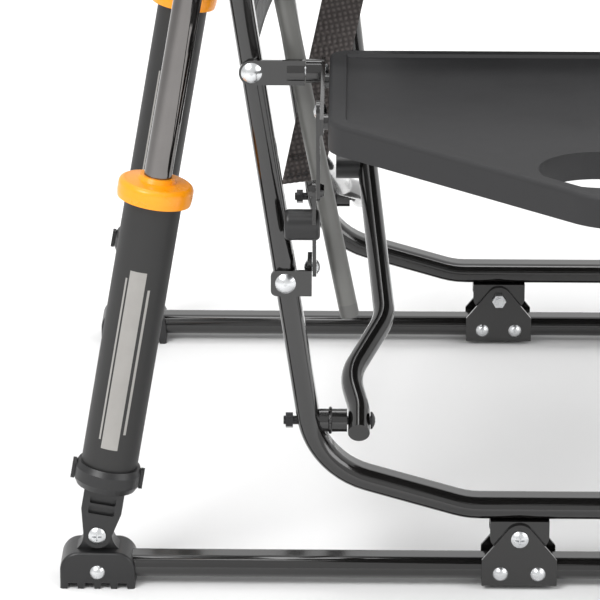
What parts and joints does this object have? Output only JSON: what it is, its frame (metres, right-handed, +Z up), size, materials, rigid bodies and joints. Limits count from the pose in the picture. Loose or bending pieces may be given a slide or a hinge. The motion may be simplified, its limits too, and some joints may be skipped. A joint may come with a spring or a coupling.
{
  "type": "camp rocking chair",
  "caption": "Folding camp rocking chair: tube side frames rock on straight base rails, sprung by rear shock struts, with crossed rear braces, sling seat and a fold-down side table.",
  "frame": {"origin": "on the ground at the middle of the open chair's plan, table included; X = 0 is under the rocker pivots", "axes": "+Z up, +X the way the sitter looks, +Y the sitter's left; the table is on the right, at -Y"},
  "size_m": [0.636, 0.871, 0.8917],
  "materials": {
    "frame_paint": "gloss black powder coat",
    "foot_plastic": "satin black moulded",
    "shock_shell": "matte charcoal",
    "orange_plastic": "gloss amber orange",
    "chrome": "dark polished",
    "zinc": "bright zinc",
    "black_zinc": "black zinc",
    "spring_steel": "oiled",
    "grey_paint": "satin grey",
    "grey_plastic": "satin grey",
    "table_plastic": "fine textured charcoal",
    "arm_foam": "soft black",
    "sling_fabric": "woven black polyester",
    "webbing": "ribbed grey webbing"
  },
  "bodies": {
    "right_base": {"right_base_rail": "frame_paint", "right_rear_foot": "foot_plastic", "right_front_foot": "foot_plastic", "right_rocker_bracket": "frame_paint", "right_base_rivets": "zinc", "right_pivot_screws": "zinc"},
    "right_frame": {"right_rear_tube": "frame_paint", "right_front_tube": "frame_paint", "right_seat_rail": "frame_paint", "right_rocker_lug": "frame_paint", "right_arm_pad": "arm_foam", "right_tube_cap": "foot_plastic", "right_frame_screws": "black_zinc", "table_brackets": "frame_paint", "table_pins": "zinc", "side_stay": "grey_paint", "side_stay_plug": "grey_plastic", "pull_strap": "webbing", "seat_sling": "sling_fabric", "back_sling": "sling_fabric"},
    "left_frame": {"left_rear_tube": "frame_paint", "left_front_tube": "frame_paint", "left_seat_rail": "frame_paint", "left_rocker_lug": "frame_paint", "left_arm_pad": "arm_foam", "left_tube_cap": "foot_plastic", "left_frame_screws": "black_zinc"},
    "left_base": {"left_base_rail": "frame_paint", "left_rear_foot": "foot_plastic", "left_front_foot": "foot_plastic", "left_rocker_bracket": "frame_paint", "left_base_rivets": "zinc", "left_pivot_screws": "zinc"},
    "right_shock_body": {"right_shock_knuckle": "foot_plastic", "right_shock_collar": "foot_plastic", "right_shock_tube": "shock_shell", "right_shock_ring": "orange_plastic", "right_shock_spring": "spring_steel"},
    "right_shock_plunger": {"right_shock_rod": "chrome", "right_shock_piston": "foot_plastic", "right_shock_fork": "foot_plastic"},
    "left_shock_body": {"left_shock_knuckle": "foot_plastic", "left_shock_collar": "foot_plastic", "left_shock_tube": "shock_shell", "left_shock_ring": "orange_plastic", "left_shock_spring": "spring_steel"},
    "left_shock_plunger": {"left_shock_rod": "chrome", "left_shock_piston": "foot_plastic", "left_shock_fork": "foot_plastic"},
    "right_braces": {"rear_brace_right": "frame_paint", "crossing_spacer": "foot_plastic", "front_brace_right": "frame_paint"},
    "left_braces": {"rear_brace_left": "frame_paint", "front_brace_left": "frame_paint"},
    "table": {"side_table": "table_plastic", "table_arms": "frame_paint", "brace_upper_pins": "zinc"},
    "table_lower_links": {"lower_links": "frame_paint", "release_grip": "foot_plastic"},
    "table_upper_links": {"upper_links": "frame_paint"}
  },
  "joints": [
    {"name": "rock", "type": "hinge", "parent": "right_base", "child": "right_frame", "pos_m": [0, -0.1105, 0.038], "axis": [0, 1, 0], "range_deg": [-8, 5], "stiffness_Nm_per_rad": 200},
    {"name": "width_fold", "type": "slide", "parent": "right_frame", "child": "left_frame", "axis": [0, -1, 0], "range_m": [0, 0.31], "deforming": ["seat_sling", "back_sling", "pull_strap"]},
    {"name": "left_rock", "type": "hinge", "parent": "left_frame", "child": "left_base", "pos_m": [0, 0.4095, 0.038], "axis": [0, 1, 0], "range_deg": [-5.1, 8.1]},
    {"name": "right_shock_swing", "type": "hinge", "parent": "right_base", "child": "right_shock_body", "pos_m": [-0.292, -0.1105, 0.038], "axis": [0, 1, 0], "range_deg": [-7.36, 4.62]},
    {"name": "right_shock_stroke", "type": "slide", "parent": "right_shock_body", "child": "right_shock_plunger", "axis": [0.1674, 0, 0.9859], "range_m": [-0.04069, 0.02551], "deforming": ["right_shock_spring"]},
    {"name": "left_shock_swing", "type": "hinge", "parent": "left_base", "child": "left_shock_body", "pos_m": [-0.292, 0.4095, 0.038], "axis": [0, 1, 0], "range_deg": [-7.36, 4.62]},
    {"name": "left_shock_stroke", "type": "slide", "parent": "left_shock_body", "child": "left_shock_plunger", "axis": [0.1674, 0, 0.9859], "range_m": [-0.04069, 0.02551], "deforming": ["left_shock_spring"]},
    {"name": "right_brace_swing", "type": "hinge", "parent": "right_frame", "child": "right_braces", "pos_m": [-0.1115, -0.1105, 0.119], "axis": [1, 0, 0], "range_deg": [-0.5, 46.68]},
    {"name": "left_brace_swing", "type": "hinge", "parent": "left_frame", "child": "left_braces", "pos_m": [-0.1115, 0.4095, 0.119], "axis": [1, 0, 0], "range_deg": [-46.68, 0.5]},
    {"name": "table_fold", "type": "hinge", "parent": "right_frame", "child": "table", "pos_m": [-0.13, -0.1205, 0.371], "axis": [1, 0, 0], "range_deg": [0, 85]},
    {"name": "lower_link_swing", "type": "hinge", "parent": "right_frame", "child": "table_lower_links", "pos_m": [-0.1425, -0.1105, 0.23], "axis": [1, 0, 0], "range_deg": [-0.5, 43.09]},
    {"name": "upper_link_swing", "type": "hinge", "parent": "table", "child": "table_upper_links", "pos_m": [-0.14, -0.1965, 0.365], "axis": [1, 0, 0], "range_deg": [-174.5, 0.5]}
  ],
  "couplings": [
    {"joint": "left_rock", "follows": "rock", "ratio": -1},
    {"joint": "right_shock_swing", "follows": "rock", "ratio": 0.914},
    {"joint": "right_shock_stroke", "follows": "rock", "m_per_rad": 0.29},
    {"joint": "left_shock_swing", "follows": "rock", "ratio": 0.914},
    {"joint": "left_shock_stroke", "follows": "rock", "m_per_rad": 0.29},
    {"joint": "right_brace_swing", "follows": "width_fold", "rad_per_m": 2.5998},
    {"joint": "left_brace_swing", "follows": "width_fold", "rad_per_m": -2.5998},
    {"joint": "lower_link_swing", "follows": "table_fold", "ratio": 0.501},
    {"joint": "upper_link_swing", "follows": "table_fold", "ratio": -2.047}
  ]
}
